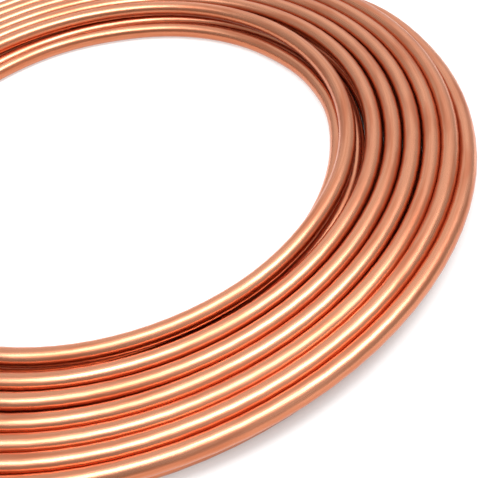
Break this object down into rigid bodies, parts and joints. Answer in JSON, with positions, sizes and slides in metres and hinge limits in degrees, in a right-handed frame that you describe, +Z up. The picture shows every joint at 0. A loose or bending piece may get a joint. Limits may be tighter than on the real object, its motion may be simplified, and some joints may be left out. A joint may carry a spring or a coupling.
{
  "type": "copper tube coil",
  "caption": "Flat coil of soft bright copper tube, wound in two layers that lie one on the other, with an open eye and two free open ends.",
  "frame": {"origin": "middle of the coil's outline on the floor", "axes": "+Z up, along the winding axis; +X towards the side where the upper layer drops over the rim to the lower one"},
  "size_m": [0.4236, 0.4236, 0.0192],
  "materials": {
    "bright_copper": "bright drawn copper, semi-gloss"
  },
  "bodies": {
    "root": {"copper_tube": "bright_copper"}
  },
  "joints": []
}
